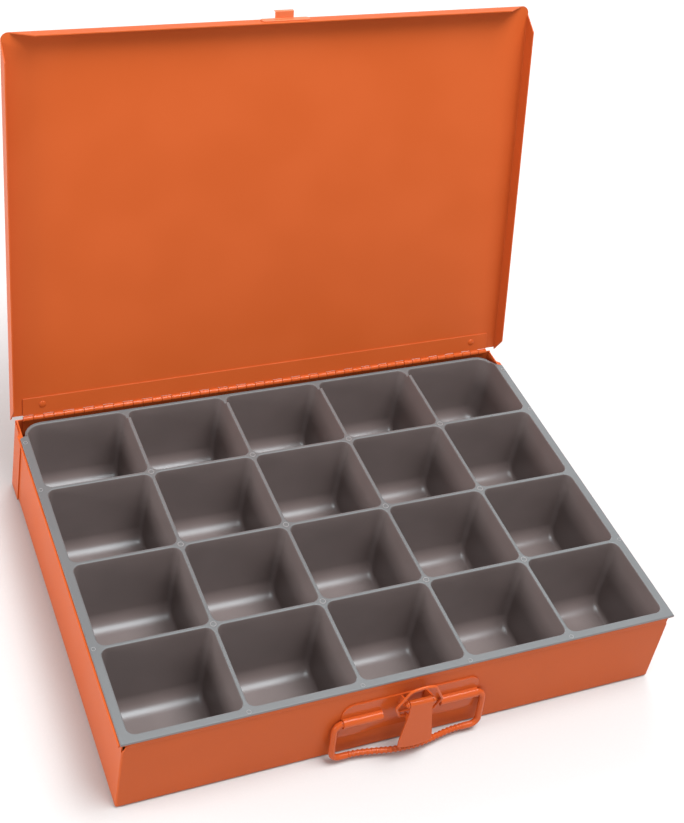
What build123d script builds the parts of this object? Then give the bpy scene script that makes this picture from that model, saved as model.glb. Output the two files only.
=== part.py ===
from build123d import *
import os
from math import cos, radians, sin

os.makedirs("parts", exist_ok=True)

# Steel compartment case with a lift-out moulded insert, a piano-hinged lid, a wire bail
# handle and a draw latch. Millimetres. The origin is the middle of the base's underside,
# +X to the right, +Y to the hinge side, +Z up. The lid stands open.

# ---- base: folded sheet steel ----
base_width = 430.0
base_depth = 316.0
base_height = 70.0
base_sheet = 1.0
base_bend = 1.8
rim_overhang = 3.2
rim_thickness = 2.0
rim_setback = 15.0
front_hem_height = 4.0
corner_notch_depth = 8.0
corner_notch_width = 3.2
corner_notch_tip = 0.6
corner_notch_fall = 1.0
wrap_tab_length = 20.0
wrap_tab_drop = 10.0
wrap_tab_slope = 9.0
centre_dimple_radius = 1.1

# ---- insert: moulded plastic tray of compartments ----
columns = 5
rows = 4
divider = 3.0
insert_flange = 2.0
insert_wall = 2.0
insert_end_wall = 3.0
insert_side_gap = 2.0
insert_front_gap = 1.8
insert_back_gap = 2.8
insert_rim_setback = 1.4
insert_front_overhang = 1.4
insert_back_step = 3.0
insert_back_step_length = 12.5
cell_floor_gap = 1.0
cell_corner_radius = 6.0
cell_scoop_radius = 12.0
end_corner_radius = 15.0
end_row_trim = 2.6

# ---- piano hinge ----
knuckles = 51
knuckle_flats = 12
hinge_end_inset = 5.0
leaf_width = 17.5
leaf_thickness = 0.9
pin_radius = 1.2
pin_clearance = 0.06
knuckle_gap = 0.3
knuckle_relief = 0.25
barrel_stand = 2.4
rivet_inset = 16.0
rivet_shank_radius = 1.6
rivet_head_radius = 2.9
rivet_head_height = 0.9
rivet_head_taper = 38.0
rivet_clearance = 0.02

# ---- lid: folded sheet steel ----
lid_open_angle = 105.0
lid_sheet = 0.9
lid_bend = 0.8
lid_gap = 1.15
lid_side_clearance = 0.9
lid_front_clearance = 0.6
lid_flange_depth = 13.2
lid_corner_radius = 6.0
lid_corner_cut = 7.0
lid_front_taper = 16.0
lid_side_taper = 12.5
lid_hinge_taper = 13.0

# ---- latch plate, bail handle and draw latch, on the front wall ----
plate_thickness = 1.2
plate_width = 109.0
plate_below_rim = 16.0
plate_height = 34.0
plate_corner_radius = 9.0
bail_wire_radius = 2.4
bail_clearance = 0.08
bail_axis_below_rim = 32.5
bail_width = 118.4
bail_floor_gap = 5.0
bail_tilt = 8.0
bail_end_length = 32.0
bail_corner_radius = 6.5
bail_bow = 5.8
bow_start = 38.0
bow_end = 9.0
bow_radius = 85.0
channel_length = 30.5
channel_end_gap = 1.0
lever_axis_out = 12.0
lever_axis_below_rim = 14.0
lever_tilt = 5.0
lever_sheet = 1.0
lever_pin_radius = 1.3
lever_roll_wall = 1.3
lever_top_width = 18.0
lever_tip_width = 26.4
lever_tip_height = 14.0
lever_flare_start = 8.5
lever_tip_straight = 6.0
lever_tip_crown = 2.0
lever_side_gap = 0.4
pin_head_height = 1.1
pin_head_taper = 30.0
ear_boss_radius = 2.5
ear_root_height = 13.0
ear_top_inset = 1.0
ear_window_strip = 2.6
ear_window_drop = 23.4
loop_wire_radius = 1.1
loop_end_overlap = 0.6
loop_ear_spread_top = 2.6
loop_ear_spread_low = 1.6
loop_pivot_drop = 13.3
loop_pivot_back = 2.7
loop_tilt = 3.0
loop_foot_width = 26.8
loop_ear_width = 36.0
loop_top_width = 19.0
loop_ear_height = 10.6
loop_shoulder_height = 27.0
loop_height = 30.0
strike_width = 40.0
strike_depth = 8.0
strike_sheet = 1.0
strike_inset = 2.4
hook_width = 15.4
hook_reach = 6.0
hook_lip = 3.0
hook_depth = 4.0

# ---- places worked out from the sizes above ----
front_y = -base_depth / 2
back_y = base_depth / 2
base_half = base_width / 2
pan_back_y = back_y - base_sheet
rim_half = base_half + rim_overhang
insert_top = base_height + insert_flange
notch_top = base_height - rim_thickness - corner_notch_fall
notch_bottom = base_height - rim_thickness - corner_notch_depth
cell_depth = insert_top - base_sheet - cell_floor_gap - insert_wall
barrel_radius = pin_radius + pin_clearance + leaf_thickness
leaf_face_y = pan_back_y - leaf_thickness
lid_inner = barrel_radius - leaf_thickness - barrel_stand
hinge_y = leaf_face_y + lid_inner + leaf_thickness
hinge_z = insert_top + lid_gap + lid_inner
hinge_length = base_width - 2 * hinge_end_inset
knuckle_pitch = hinge_length / knuckles
knuckle_bore_flats = knuckle_flats - 4
lid_half = rim_half + lid_side_clearance + lid_sheet
lid_reach = hinge_y - front_y + insert_front_overhang + lid_front_clearance + lid_sheet
lid_outer = lid_inner - lid_sheet
lid_start = barrel_radius + knuckle_relief
lid_back_edge = knuckle_relief
flange_edge = lid_outer + lid_flange_depth
bend_tolerance = 0.01
cut_over = 1.0
insert_back_y = leaf_face_y - insert_back_gap
insert_half = rim_half - insert_rim_setback
insert_body_half = base_half - base_sheet - insert_side_gap
insert_body_front = front_y + base_sheet + insert_front_gap
cell_front_y = insert_body_front + insert_wall
cell_back_y = insert_back_y - insert_end_wall
cell_width = (2 * (insert_body_half - insert_wall) - (columns - 1) * divider) / columns
cell_length = (cell_back_y - cell_front_y - (rows - 1) * divider + 2 * end_row_trim) / rows
insert_step_y = insert_back_y - insert_back_step_length
plate_top = base_height - plate_below_rim
plate_bottom = plate_top - plate_height
bail_axis_y = front_y - bail_wire_radius - bail_clearance
bail_axis_height = base_height - bail_axis_below_rim
bail_drop = bail_axis_height - bail_floor_gap
channel_start = plate_width / 2 - channel_end_gap - channel_length
lever_axis_y = front_y - lever_axis_out
lever_axis_height = base_height - lever_axis_below_rim
lever_length = lever_axis_height - lever_tip_height
lever_roll_radius = lever_pin_radius + pin_clearance + lever_roll_wall
bracket_inner = lever_top_width / 2 + lever_side_gap
bracket_outer = bracket_inner + plate_thickness
window_top = plate_top - ear_window_strip
window_bottom = lever_axis_height - ear_window_drop

# The lid's own plane: X along the hinge pin, Y away from it along the lid, Z into the case.
lid_turn = radians(lid_open_angle)
lid_plane = Plane(
    origin=(0, hinge_y, hinge_z), x_dir=(1, 0, 0), z_dir=(0, -sin(lid_turn), -cos(lid_turn))
)
# The base leaf's plane: X along the pin, Y down the back wall, Z into the case.
base_leaf_plane = Plane(origin=(0, hinge_y, hinge_z), x_dir=(-1, 0, 0), z_dir=(0, -1, 0))
front_plane = Plane.XZ.offset(-front_y)


def hanging_plane(y, z, tilt):
    """X along the axis, Y down along a hanging piece tilted outwards, Z towards the wall."""
    turn = radians(tilt)
    return Plane(origin=(0, y, z), x_dir=(1, 0, 0), z_dir=(0, cos(turn), -sin(turn)))


bail_plane = hanging_plane(bail_axis_y, bail_axis_height, bail_tilt)
lever_plane = hanging_plane(lever_axis_y, lever_axis_height, lever_tilt)
loop_pivot = lever_plane.from_local_coords((0, loop_pivot_drop, loop_pivot_back))
loop_turn = radians(loop_tilt)
loop_plane = Plane(
    origin=loop_pivot, x_dir=(1, 0, 0), z_dir=(0, -cos(loop_turn), -sin(loop_turn))
)


def across(plane, x):
    """The plane's cross-section at x along its axis: local X is the plane's Y, local Y its Z."""
    return Plane(
        origin=plane.from_local_coords((x, 0, 0)), x_dir=plane.y_dir, z_dir=plane.x_dir
    )


# ---- base pan: bottom, front and sides from one sheet, with hemmed rims ----
with BuildPart() as base_pan:
    with BuildSketch():
        with Locations((0, (front_y + pan_back_y) / 2)):
            Rectangle(base_width, pan_back_y - front_y)
    extrude(amount=base_height)
    pan_back_face = base_pan.faces().sort_by(Axis.Y)[-1]
    front_corners = base_pan.edges().filter_by(Axis.Z).group_by(Axis.Y)[0]
    bottom_folds = base_pan.faces().sort_by(Axis.Z)[0].edges().sort_by(Axis.Y)[:-1]
    fillet(front_corners + bottom_folds, base_bend)
    pan_openings = [base_pan.faces().sort_by(Axis.Z)[-1], base_pan.faces().sort_by(Axis.Y)[-1]]
    offset(amount=-base_sheet, openings=pan_openings)
    rim_front_y = front_y + base_bend
    rim_back_y = back_y - rim_setback
    for side in (-1, 1):
        with BuildSketch(Plane.XY.offset(base_height - rim_thickness)):
            with BuildLine():
                Polyline(
                    (side * (base_half - base_sheet), front_y),
                    (side * rim_half, front_y),
                    (side * rim_half, rim_back_y - rim_overhang),
                    (side * base_half, rim_back_y),
                    (side * (base_half - base_sheet), rim_back_y),
                    close=True,
                )
            make_face()
        extrude(amount=rim_thickness)
        rim_edge = base_pan.edges().filter_by(Axis.Y).sort_by(Axis.X)[::side][-2:]
        fillet(rim_edge, rim_thickness * 0.45)
    with BuildSketch(Plane.XY.offset(base_height - front_hem_height)):
        with Locations((0, front_y - base_sheet / 2)):
            Rectangle(base_width - 2 * (corner_notch_width + cut_over), base_sheet)
    extrude(amount=front_hem_height)
    hem_edges = base_pan.edges().filter_by(Axis.X).group_by(Axis.Y)[0]
    fillet(hem_edges, base_sheet * 0.6)
    for side in (-1, 1):
        with BuildSketch(front_plane):
            with BuildLine():
                Polyline(
                    (side * (base_half + cut_over), base_height - rim_thickness),
                    (side * (base_half - corner_notch_width), notch_top),
                    (side * (base_half - corner_notch_tip), notch_bottom),
                    (side * (base_half + cut_over), notch_bottom),
                    close=True,
                )
            make_face()
        extrude(amount=-base_bend, mode=Mode.SUBTRACT)
    with Locations((0, front_y - base_sheet * 0.4, base_height - front_hem_height / 2)):
        Sphere(centre_dimple_radius)
base_pan.part.label = "base_pan"
export_step(base_pan.part, "parts/base_pan.step")


# ---- back panel: its ends wrap round the outside of the pan's side walls ----
rivet_places = [side * (hinge_length / 2 - rivet_inset) for side in (-1, 1)]
rivet_drop = leaf_width * 0.62
with BuildPart() as back_panel:
    with BuildSketch(Plane.XZ.offset(-back_y)):
        with Locations((0, base_height / 2)):
            Rectangle(base_width + 2 * base_sheet, base_height)
    extrude(amount=base_sheet)
    for side in (-1, 1):
        with BuildSketch(Plane.YZ.offset(side * base_half)):
            with BuildLine():
                Polyline(
                    (back_y, 0),
                    (back_y - wrap_tab_length, 0),
                    (back_y - wrap_tab_length, base_height - wrap_tab_drop),
                    (back_y - wrap_tab_length + wrap_tab_slope, base_height - rim_thickness),
                    (back_y, base_height - rim_thickness),
                    close=True,
                )
            make_face()
        extrude(amount=side * base_sheet)
    back_corners = back_panel.edges().filter_by(Axis.Z).group_by(Axis.Y)[-1]
    fillet(back_corners, base_sheet * 0.8)
    for x in rivet_places:
        with BuildSketch(Plane.XZ.offset(-back_y)):
            with Locations((x, hinge_z - rivet_drop)):
                Circle(rivet_shank_radius + rivet_clearance)
        extrude(amount=base_sheet, mode=Mode.SUBTRACT)
back_panel.part.label = "back_panel"
export_step(back_panel.part, "parts/back_panel.step")


def hinge_leaf(plane, first, label):
    """One leaf with its own knuckles, every second one from first, on a leaf's own plane."""
    with BuildPart() as leaf:
        leaf_inner = plane.offset(lid_inner)
        with BuildSketch(leaf_inner):
            with Locations((0, (lid_start + leaf_width) / 2)):
                Rectangle(hinge_length, leaf_width - lid_start)
            for k in range(first, knuckles, 2):
                with Locations(((k + 0.5 - knuckles / 2) * knuckle_pitch, lid_start / 2)):
                    Rectangle(knuckle_pitch - knuckle_gap, lid_start)
            with Locations(*[(x, rivet_drop) for x in rivet_places]):
                Circle(rivet_shank_radius + rivet_clearance, mode=Mode.SUBTRACT)
        extrude(amount=leaf_thickness)
        for k in range(first, knuckles, 2):
            start = (k - knuckles / 2) * knuckle_pitch + knuckle_gap / 2
            with BuildSketch(across(plane, start)):
                RegularPolygon(
                    barrel_radius, knuckle_flats, major_radius=False, rotation=180 / knuckle_flats
                )
            extrude(amount=knuckle_pitch - knuckle_gap)
        with BuildSketch(across(plane, -hinge_length / 2 - cut_over)):
            RegularPolygon(pin_radius + pin_clearance, knuckle_bore_flats, major_radius=False)
        extrude(amount=hinge_length + 2 * cut_over, mode=Mode.SUBTRACT)
    leaf.part.label = label
    return leaf


# ---- piano hinge ----
base_hinge_leaf = hinge_leaf(base_leaf_plane, 0, "base_hinge_leaf")
export_step(base_hinge_leaf.part, "parts/base_hinge_leaf.step")
lid_hinge_leaf = hinge_leaf(lid_plane, 1, "lid_hinge_leaf")
export_step(lid_hinge_leaf.part, "parts/lid_hinge_leaf.step")

with BuildPart() as hinge_pin:
    with BuildSketch(across(lid_plane, -hinge_length / 2)):
        Circle(pin_radius)
    extrude(amount=hinge_length)
hinge_pin.part.label = "hinge_pin"
export_step(hinge_pin.part, "parts/hinge_pin.step")


def leaf_rivets(plane, sheet, label):
    """Two rivets that hold a leaf to its sheet, with a round head on each side."""
    with BuildPart() as rivets:
        for x in rivet_places:
            with BuildSketch(plane.offset(lid_inner - sheet)):
                with Locations((x, rivet_drop)):
                    Circle(rivet_shank_radius)
            extrude(amount=sheet + leaf_thickness)
            for face, out in ((lid_inner + leaf_thickness, 1), (lid_inner - sheet, -1)):
                with BuildSketch(plane.offset(face)):
                    with Locations((x, rivet_drop)):
                        Circle(rivet_head_radius)
                extrude(amount=out * rivet_head_height, taper=rivet_head_taper)
    rivets.part.label = label
    return rivets


base_leaf_rivets = leaf_rivets(base_leaf_plane, base_sheet, "base_leaf_rivets")
export_step(base_leaf_rivets.part, "parts/base_leaf_rivets.step")
lid_leaf_rivets = leaf_rivets(lid_plane, lid_sheet, "lid_leaf_rivets")
export_step(lid_leaf_rivets.part, "parts/lid_leaf_rivets.step")


# ---- lid pan: panel with three flanges, open at its cut corners ----
def side_flange():
    """One side flange's outline, in the cross-plane of the lid."""
    flange_end = lid_reach - lid_corner_cut
    return Polyline(
        (lid_back_edge, lid_outer),
        (lid_back_edge, lid_outer + lid_sheet),
        (lid_back_edge + lid_hinge_taper, flange_edge),
        (flange_end - lid_side_taper, flange_edge),
        (flange_end, lid_outer + lid_sheet),
        (flange_end, lid_outer),
        close=True,
    )


with BuildPart() as lid_pan:
    with BuildSketch(lid_plane.offset(lid_outer)) as lid_blank:
        with BuildLine():
            Polyline(
                (-lid_half, lid_start),
                (lid_half, lid_start),
                (lid_half, lid_reach),
                (-lid_half, lid_reach),
                close=True,
            )
        make_face()
        fillet(lid_blank.vertices().group_by(Axis.Y)[-1], lid_corner_radius)
    extrude(amount=lid_sheet)
    for side in (-1, 1):
        with BuildSketch(across(lid_plane, side * (lid_half - lid_sheet))):
            with BuildLine():
                side_flange()
            make_face()
        extrude(amount=side * lid_sheet)
    front_flange_half = lid_half - lid_corner_cut
    flange_fall = lid_outer - flange_edge
    with BuildSketch(Plane(
        origin=lid_plane.from_local_coords((0, lid_reach - lid_sheet, lid_outer)),
        x_dir=lid_plane.x_dir, z_dir=lid_plane.y_dir,
    )):
        with BuildLine():
            Polyline(
                (-front_flange_half, 0),
                (front_flange_half, 0),
                (front_flange_half, -lid_sheet),
                (front_flange_half - lid_front_taper, flange_fall),
                (-front_flange_half + lid_front_taper, flange_fall),
                (-front_flange_half, -lid_sheet),
                close=True,
            )
        make_face()
    extrude(amount=lid_sheet)
    fillet(
        [
            edge for edge in lid_pan.edges().filter_by(GeomType.LINE)
            if abs(lid_plane.to_local_coords(edge.center()).Z - lid_outer) < bend_tolerance
            and edge.length > lid_reach * 0.9
            and lid_plane.to_local_coords(edge.center()).Y > bend_tolerance + lid_start
        ],
        lid_bend,
    )
    for x in rivet_places:
        with BuildSketch(lid_plane.offset(lid_outer)):
            with Locations((x, rivet_drop)):
                Circle(rivet_shank_radius + rivet_clearance)
        extrude(amount=lid_sheet, mode=Mode.SUBTRACT)
lid_pan.part.label = "lid_pan"
export_step(lid_pan.part, "parts/lid_pan.step")


# ---- strike: plate on the lid's front flange with a hook for the loop ----
with BuildPart() as lid_strike:
    strike_face = Plane(
        origin=lid_plane.from_local_coords((0, lid_reach, lid_outer + strike_inset)),
        x_dir=lid_plane.x_dir, z_dir=lid_plane.y_dir,
    )
    with BuildSketch(strike_face) as strike_blank:
        with Locations((0, -strike_depth / 2)):
            RectangleRounded(strike_width, strike_depth, strike_depth * 0.3)
    extrude(amount=strike_sheet)
    with BuildSketch(across(lid_plane, -hook_width / 2)):
        with BuildLine():
            hook_low = lid_outer + hook_depth
            hook_end = lid_reach + strike_sheet + hook_reach
            Polyline(
                (lid_reach, hook_low - strike_sheet),
                (hook_end - strike_sheet, hook_low - strike_sheet),
                (hook_end - strike_sheet, hook_low - hook_lip),
                (hook_end, hook_low - hook_lip),
                (hook_end, hook_low),
                (lid_reach, hook_low),
                close=True,
            )
        make_face()
    extrude(amount=hook_width)
    hook_bend = lid_strike.edges().filter_by(Axis.X).group_by(Axis.Z)[-1]
    fillet(hook_bend.sort_by(Axis.Y)[0], strike_sheet * 0.9)
lid_strike.part.label = "lid_strike"
export_step(lid_strike.part, "parts/lid_strike.step")


# ---- compartment insert ----
def cell_pocket(length, end_corner):
    """One compartment's hollow. end_corner is -1 or 1 for the side with a wide back corner."""
    with BuildPart() as pocket:
        with BuildSketch(Plane.XY.offset(insert_top)) as mouth:
            Rectangle(cell_width, length)
            back_corners = mouth.vertices().group_by(Axis.Y)[-1].sort_by(Axis.X)
            wide = [back_corners[0 if end_corner < 0 else -1]] if end_corner else []
            fillet([v for v in mouth.vertices() if v not in wide], cell_corner_radius)
            if wide:
                fillet(
                    mouth.vertices().group_by(Axis.Y)[-1].sort_by(Axis.X)[
                        0 if end_corner < 0 else -1
                    ],
                    end_corner_radius - insert_wall,
                )
        extrude(amount=-cell_depth)
        with BuildSketch(Plane.YZ) as scoop:
            with Locations((0, insert_top - cell_depth / 2)):
                Rectangle(length, cell_depth)
            fillet(scoop.vertices().group_by(Axis.Y)[0], cell_scoop_radius)
        extrude(amount=cell_width, both=True, mode=Mode.INTERSECT)
    return pocket.part


with BuildPart() as compartment_insert:
    body_floor = insert_top - cell_depth - insert_wall
    body_plan_y = (insert_body_front + insert_back_y) / 2
    with BuildSketch(Plane.XY.offset(insert_top - insert_back_step)) as insert_plan:
        with Locations((0, body_plan_y)):
            Rectangle(2 * insert_body_half, insert_back_y - insert_body_front)
        fillet(insert_plan.vertices().group_by(Axis.Y)[0], cell_corner_radius + insert_wall)
        fillet(insert_plan.vertices().group_by(Axis.Y)[-1], end_corner_radius)
    extrude(amount=body_floor - insert_top + insert_back_step)
    with BuildSketch(Plane.XY.offset(insert_top - insert_back_step)):
        with Locations((0, (insert_body_front + insert_step_y) / 2)):
            Rectangle(2 * insert_body_half, insert_step_y - insert_body_front)
    extrude(amount=insert_back_step)
    with BuildSketch(Plane.XY.offset(base_height)):
        flange_front_y = front_y - insert_front_overhang
        with BuildLine():
            Polyline(
                (-insert_half, flange_front_y),
                (insert_half, flange_front_y),
                (insert_half, insert_step_y - insert_half + insert_body_half),
                (insert_body_half, insert_step_y),
                (-insert_body_half, insert_step_y),
                (-insert_half, insert_step_y - insert_half + insert_body_half),
                close=True,
            )
        make_face()
    extrude(amount=insert_flange)
    row_front_y = cell_front_y
    for row in range(rows):
        row_length = cell_length - (end_row_trim if row in (0, rows - 1) else 0)
        for column in range(columns):
            corner_side = 0
            if row == rows - 1:
                corner_side = {0: -1, columns - 1: 1}.get(column, 0)
            with Locations((
                (column - (columns - 1) / 2) * (cell_width + divider),
                row_front_y + row_length / 2,
            )):
                add(cell_pocket(row_length, corner_side), mode=Mode.SUBTRACT)
        row_front_y += row_length + divider
compartment_insert.part.label = "compartment_insert"
export_step(compartment_insert.part, "parts/compartment_insert.step")


# ---- latch plate: pressed channels hold the bail, lanced ears hold the lever's pin ----
with BuildPart() as latch_plate:
    with BuildSketch(front_plane) as plate_blank:
        with Locations((0, (plate_bottom + plate_top) / 2)):
            Rectangle(plate_width, plate_top - plate_bottom)
        fillet(plate_blank.vertices().group_by(Axis.Y)[-1], plate_corner_radius)
        fillet(plate_blank.vertices().group_by(Axis.Y)[0], plate_corner_radius / 4)
    extrude(amount=plate_thickness)
    channel_inner = bail_wire_radius + bail_clearance
    channel_outer = channel_inner + plate_thickness
    for side in (-1, 1):
        start = side * channel_start
        for radius, mode in ((channel_outer, Mode.ADD), (channel_inner, Mode.SUBTRACT)):
            with BuildSketch(Plane.YZ.offset(start)):
                with Locations((bail_axis_y, bail_axis_height)):
                    Circle(radius)
                with Locations(((bail_axis_y + front_y) / 2, bail_axis_height)):
                    Rectangle(front_y - bail_axis_y, 2 * radius)
                with Locations((front_y + radius, bail_axis_height)):
                    Rectangle(2 * radius, 4 * radius, mode=Mode.SUBTRACT)
            length = channel_length if mode == Mode.ADD else plate_width
            extrude(amount=side * length, mode=mode)
    with BuildSketch(front_plane):
        with Locations((0, (window_top + window_bottom) / 2)):
            Rectangle(2 * bracket_inner, window_top - window_bottom)
    extrude(amount=plate_thickness, mode=Mode.SUBTRACT)
    for side in (-1, 1):
        with BuildSketch(Plane.YZ.offset(side * bracket_inner)):
            with BuildLine():
                Polyline(
                    (front_y, plate_top - ear_top_inset),
                    (lever_axis_y, lever_axis_height + ear_boss_radius),
                    (lever_axis_y, lever_axis_height - ear_boss_radius),
                    (front_y, lever_axis_height - ear_root_height),
                    close=True,
                )
            make_face()
            with Locations((lever_axis_y, lever_axis_height)):
                Circle(ear_boss_radius)
                Circle(lever_pin_radius + rivet_clearance, mode=Mode.SUBTRACT)
        extrude(amount=side * plate_thickness)
latch_plate.part.label = "latch_plate"
export_step(latch_plate.part, "parts/latch_plate.step")

with BuildPart() as lever_pin:
    with BuildSketch(Plane.YZ.offset(-bracket_outer)):
        with Locations((lever_axis_y, lever_axis_height)):
            Circle(lever_pin_radius)
    extrude(amount=2 * bracket_outer)
    for side in (-1, 1):
        with BuildSketch(Plane.YZ.offset(side * bracket_outer)):
            with Locations((lever_axis_y, lever_axis_height)):
                Circle(lever_pin_radius * 1.5)
        extrude(amount=side * pin_head_height, taper=pin_head_taper)
lever_pin.part.label = "lever_pin"
export_step(lever_pin.part, "parts/lever_pin.step")


# ---- bail handle: bent wire whose grip bows away from the wall ----
bail_half = bail_width / 2
grip_half = bail_half - bail_corner_radius
grip_plane = Plane(
    origin=bail_plane.from_local_coords((0, bail_drop, 0)), x_dir=(1, 0, 0), z_dir=bail_plane.y_dir
)
with BuildLine() as bail_arm:
    FilletPolyline(
        (bail_half - bail_end_length, 0), (bail_half, 0), (bail_half, bail_drop),
        (grip_half, bail_drop), radius=bail_corner_radius,
    )
with BuildLine() as bail_grip:
    FilletPolyline(
        (grip_half, 0), (bow_start, 0), (bow_end, bail_bow), (-bow_end, bail_bow),
        (-bow_start, 0), (-grip_half, 0), radius=bow_radius,
    )
bail_arms = [bail_plane * edge for edge in bail_arm.edges()]
bail_path = Wire(
    bail_arms
    + [grip_plane * edge for edge in bail_grip.edges()]
    + [edge.mirror(Plane.YZ) for edge in bail_arms]
)
with BuildPart() as bail_handle:
    with BuildSketch(Plane(origin=bail_path @ 0, z_dir=bail_path % 0)):
        Circle(bail_wire_radius)
    sweep(path=bail_path)
bail_handle.part.label = "bail_handle"
export_step(bail_handle.part, "parts/bail_handle.step")


# ---- latch lever: rolled top, flared flap, two folded ears for the loop ----
flap_face = -lever_roll_radius
with BuildPart() as latch_lever:
    half = lever_top_width / 2
    tip = lever_tip_width / 2
    crown = lever_length - lever_tip_crown
    flare_end = crown - lever_tip_straight
    with BuildSketch(across(lever_plane, -half)):
        Circle(lever_roll_radius)
    extrude(amount=2 * half)
    with BuildSketch(lever_plane.offset(flap_face)):
        with BuildLine():
            Polyline(
                (-tip, crown), (-tip, flare_end), (-half, lever_flare_start), (-half, 0),
                (half, 0), (half, lever_flare_start), (tip, flare_end), (tip, crown),
            )
            ThreePointArc((tip, crown), (0, lever_length), (-tip, crown))
        make_face()
    extrude(amount=lever_sheet)
    for side in (-1, 1):
        with BuildSketch(across(lever_plane, side * half)):
            with BuildLine():
                ear_radius = loop_wire_radius + lever_sheet
                Polyline(
                    (loop_pivot_drop - loop_ear_spread_top * ear_radius, flap_face),
                    (loop_pivot_drop - ear_radius, loop_pivot_back),
                    (loop_pivot_drop + ear_radius, loop_pivot_back),
                    (loop_pivot_drop + loop_ear_spread_low * ear_radius, flap_face),
                    close=True,
                )
            make_face()
            with Locations((loop_pivot_drop, loop_pivot_back)):
                Circle(ear_radius)
                Circle(loop_wire_radius + pin_clearance, mode=Mode.SUBTRACT)
        extrude(amount=-side * lever_sheet)
    with BuildSketch(across(lever_plane, -half - cut_over)):
        Circle(lever_pin_radius + pin_clearance)
    extrude(amount=2 * (half + cut_over), mode=Mode.SUBTRACT)
latch_lever.part.label = "latch_lever"
export_step(latch_lever.part, "parts/latch_lever.step")


# ---- latch loop: wire keystone that hooks over the strike ----
loop_foot = loop_foot_width / 2
loop_ear = loop_ear_width / 2
loop_top = loop_top_width / 2
loop_end = lever_top_width / 2 - lever_sheet - loop_end_overlap
with BuildLine() as loop_outline:
    Polyline(
        (loop_end, 0), (loop_foot, 0), (loop_ear, loop_ear_height),
        (loop_top, loop_shoulder_height), (0, loop_height), (-loop_top, loop_shoulder_height),
        (-loop_ear, loop_ear_height), (-loop_foot, 0), (-loop_end, 0),
    )
loop_path = Wire([loop_plane * edge for edge in loop_outline.edges()])
with BuildPart() as latch_loop:
    with BuildSketch(Plane(origin=loop_path @ 0, z_dir=loop_path % 0)):
        Circle(loop_wire_radius)
    sweep(path=loop_path, transition=Transition.RIGHT)
latch_loop.part.label = "latch_loop"
export_step(latch_loop.part, "parts/latch_loop.step")
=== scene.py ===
from math import atan2, cos, pi, radians, sin, sqrt, tan

import bmesh
import bpy
from mathutils import Matrix, Vector


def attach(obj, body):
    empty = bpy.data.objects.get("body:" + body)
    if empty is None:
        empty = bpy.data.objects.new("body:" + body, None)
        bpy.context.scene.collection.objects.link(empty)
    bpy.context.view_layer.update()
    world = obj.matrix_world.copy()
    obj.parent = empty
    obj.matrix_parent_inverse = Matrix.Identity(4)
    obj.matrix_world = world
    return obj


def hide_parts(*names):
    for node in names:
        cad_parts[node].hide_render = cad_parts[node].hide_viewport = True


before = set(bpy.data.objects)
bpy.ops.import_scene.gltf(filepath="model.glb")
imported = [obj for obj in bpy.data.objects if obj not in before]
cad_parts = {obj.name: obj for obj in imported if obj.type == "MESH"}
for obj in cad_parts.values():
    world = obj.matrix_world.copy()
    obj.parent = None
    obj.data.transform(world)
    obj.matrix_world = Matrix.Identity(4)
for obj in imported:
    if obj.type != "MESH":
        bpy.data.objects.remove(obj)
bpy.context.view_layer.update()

# Steel compartment case: folded and enamelled sheet, a moulded insert of twenty
# compartments, a piano hinge, a wire bail and a draw latch. Metres, in the CAD frame.
mm = 0.001


# ======================================================================
# Sizes shared by several pieces
# ======================================================================
hinge_axis = Vector((0.0, 155.86 * mm, 72.01 * mm))
lid_open = radians(105.0)
lid_along = Vector((0.0, -cos(lid_open), sin(lid_open)))
lid_inward = Vector((0.0, -sin(lid_open), -cos(lid_open)))
base_down = Vector((0.0, 0.0, -1.0))
base_inward = Vector((0.0, -1.0, 0.0))

hinge_length = 420.0 * mm
knuckle_count = 51
knuckle_pitch = hinge_length / knuckle_count
knuckle_gap = 0.3 * mm
barrel_radius = 2.16 * mm
barrel_bore = 1.26 * mm
leaf_thickness = 0.9 * mm
leaf_width = 17.5 * mm
leaf_start = 2.41 * mm
leaf_face = -1.14 * mm
leaf_edge = 0.12 * mm
knuckle_edge = 0.25 * mm
base_sheet = 1.0 * mm
lid_sheet = 0.9 * mm
rivet_head = 2.9 * mm
rivet_flatness = 0.3
rivet_side = 194.0 * mm
rivet_drop = 10.85 * mm

wire_radius = 2.4 * mm
bail_axis = Vector((0.0, -160.48 * mm, 37.5 * mm))
bail_tilt = radians(8.0)
loop_tilt = radians(3.0)
loop_pivot = Vector((0.0, -168.469 * mm, 42.515 * mm))


# ======================================================================
# Node trees and groups
# ======================================================================
def new_group(name, kind, inputs, outputs):
    """A node group with named sockets: (name, socket type, default) each."""
    tree = bpy.data.node_groups.new(name, kind)
    for label, socket, value in inputs:
        made = tree.interface.new_socket(label, in_out="INPUT", socket_type=socket)
        if value is not None:
            made.default_value = value
    for label, socket in outputs:
        tree.interface.new_socket(label, in_out="OUTPUT", socket_type=socket)
    return tree, tree.nodes.new("NodeGroupInput"), tree.nodes.new("NodeGroupOutput")


def feed(tree, node, values):
    """Fills a node's inputs, each by its name or index, from a socket or a plain value."""
    for key, value in values.items():
        if isinstance(value, bpy.types.NodeSocket):
            tree.links.new(value, node.inputs[key])
        else:
            node.inputs[key].default_value = value
    return node


def add_node(tree, kind, values=None, **settings):
    node = tree.nodes.new(kind)
    for key, value in settings.items():
        setattr(node, key, value)
    return feed(tree, node, values or {})


def maths(tree, operation, first, second, clamp=False):
    node = add_node(
        tree, "ShaderNodeMath", {0: first, 1: second}, operation=operation, use_clamp=clamp,
    )
    return node.outputs[0]


def ramp_between(tree, value, low, high, from_value=0.0, to_value=1.0):
    """A smooth step of value from low to high."""
    node = add_node(
        tree, "ShaderNodeMapRange",
        {
            "Value": value, "From Min": low, "From Max": high,
            "To Min": from_value, "To Max": to_value,
        },
        interpolation_type="SMOOTHSTEP",
    )
    return node.outputs["Result"]


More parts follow.
